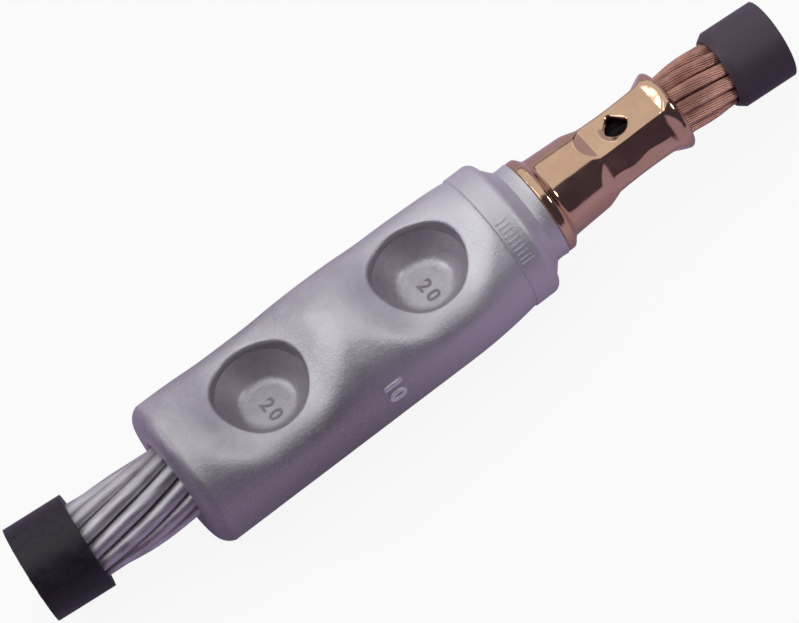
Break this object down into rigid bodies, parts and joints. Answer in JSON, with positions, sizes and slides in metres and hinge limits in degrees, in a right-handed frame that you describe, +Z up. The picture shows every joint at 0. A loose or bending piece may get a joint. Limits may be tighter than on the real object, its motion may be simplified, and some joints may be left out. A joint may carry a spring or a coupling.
{
  "type": "bimetallic splice connector",
  "caption": "Aluminium to copper cable splice: a deeply indented aluminium barrel welded to a hex-crimped copper barrel, each closed on a short stranded cable end.",
  "frame": {"origin": "bottom centre of the set's box: under the middle of its length, level with the underside of the aluminium barrel", "axes": "+X along the sleeve from the aluminium cable to the copper cable, +Z up, the way the two indents and the sight hole face, +Y completing a right-handed set"},
  "size_m": [0.144, 0.0256, 0.0253],
  "materials": {
    "barrel_aluminium": "matt, slightly mottled",
    "barrel_copper": "polished copper",
    "strand_aluminium": "drawn wire, satin",
    "strand_copper": "drawn copper wire, dull",
    "cable_sheath": "matt black"
  },
  "bodies": {
    "root": {"aluminium_barrel": "barrel_aluminium", "copper_barrel": "barrel_copper", "aluminium_strand_01": "strand_aluminium", "aluminium_strand_02": "strand_aluminium", "aluminium_strand_03": "strand_aluminium", "aluminium_strand_04": "strand_aluminium", "aluminium_strand_05": "strand_aluminium", "aluminium_strand_06": "strand_aluminium", "aluminium_strand_07": "strand_aluminium", "aluminium_strand_08": "strand_aluminium", "aluminium_strand_09": "strand_aluminium", "aluminium_strand_10": "strand_aluminium", "aluminium_strand_11": "strand_aluminium", "aluminium_strand_12": "strand_aluminium", "aluminium_strand_13": "strand_aluminium", "aluminium_strand_14": "strand_aluminium", "aluminium_strand_15": "strand_aluminium", "aluminium_strand_16": "strand_aluminium", "aluminium_strand_17": "strand_aluminium", "aluminium_strand_18": "strand_aluminium", "aluminium_strand_19": "strand_aluminium", "copper_strand_01": "strand_copper", "copper_strand_02": "strand_copper", "copper_strand_03": "strand_copper", "copper_strand_04": "strand_copper", "copper_strand_05": "strand_copper", "copper_strand_06": "strand_copper", "copper_strand_07": "strand_copper", "copper_strand_08": "strand_copper", "copper_strand_09": "strand_copper", "copper_strand_10": "strand_copper", "copper_strand_11": "strand_copper", "copper_strand_12": "strand_copper", "copper_strand_13": "strand_copper", "copper_strand_14": "strand_copper", "copper_strand_15": "strand_copper", "copper_strand_16": "strand_copper", "copper_strand_17": "strand_copper", "copper_strand_18": "strand_copper", "copper_strand_19": "strand_copper", "aluminium_cable_sheath": "cable_sheath", "copper_cable_sheath": "cable_sheath"}
  },
  "joints": []
}
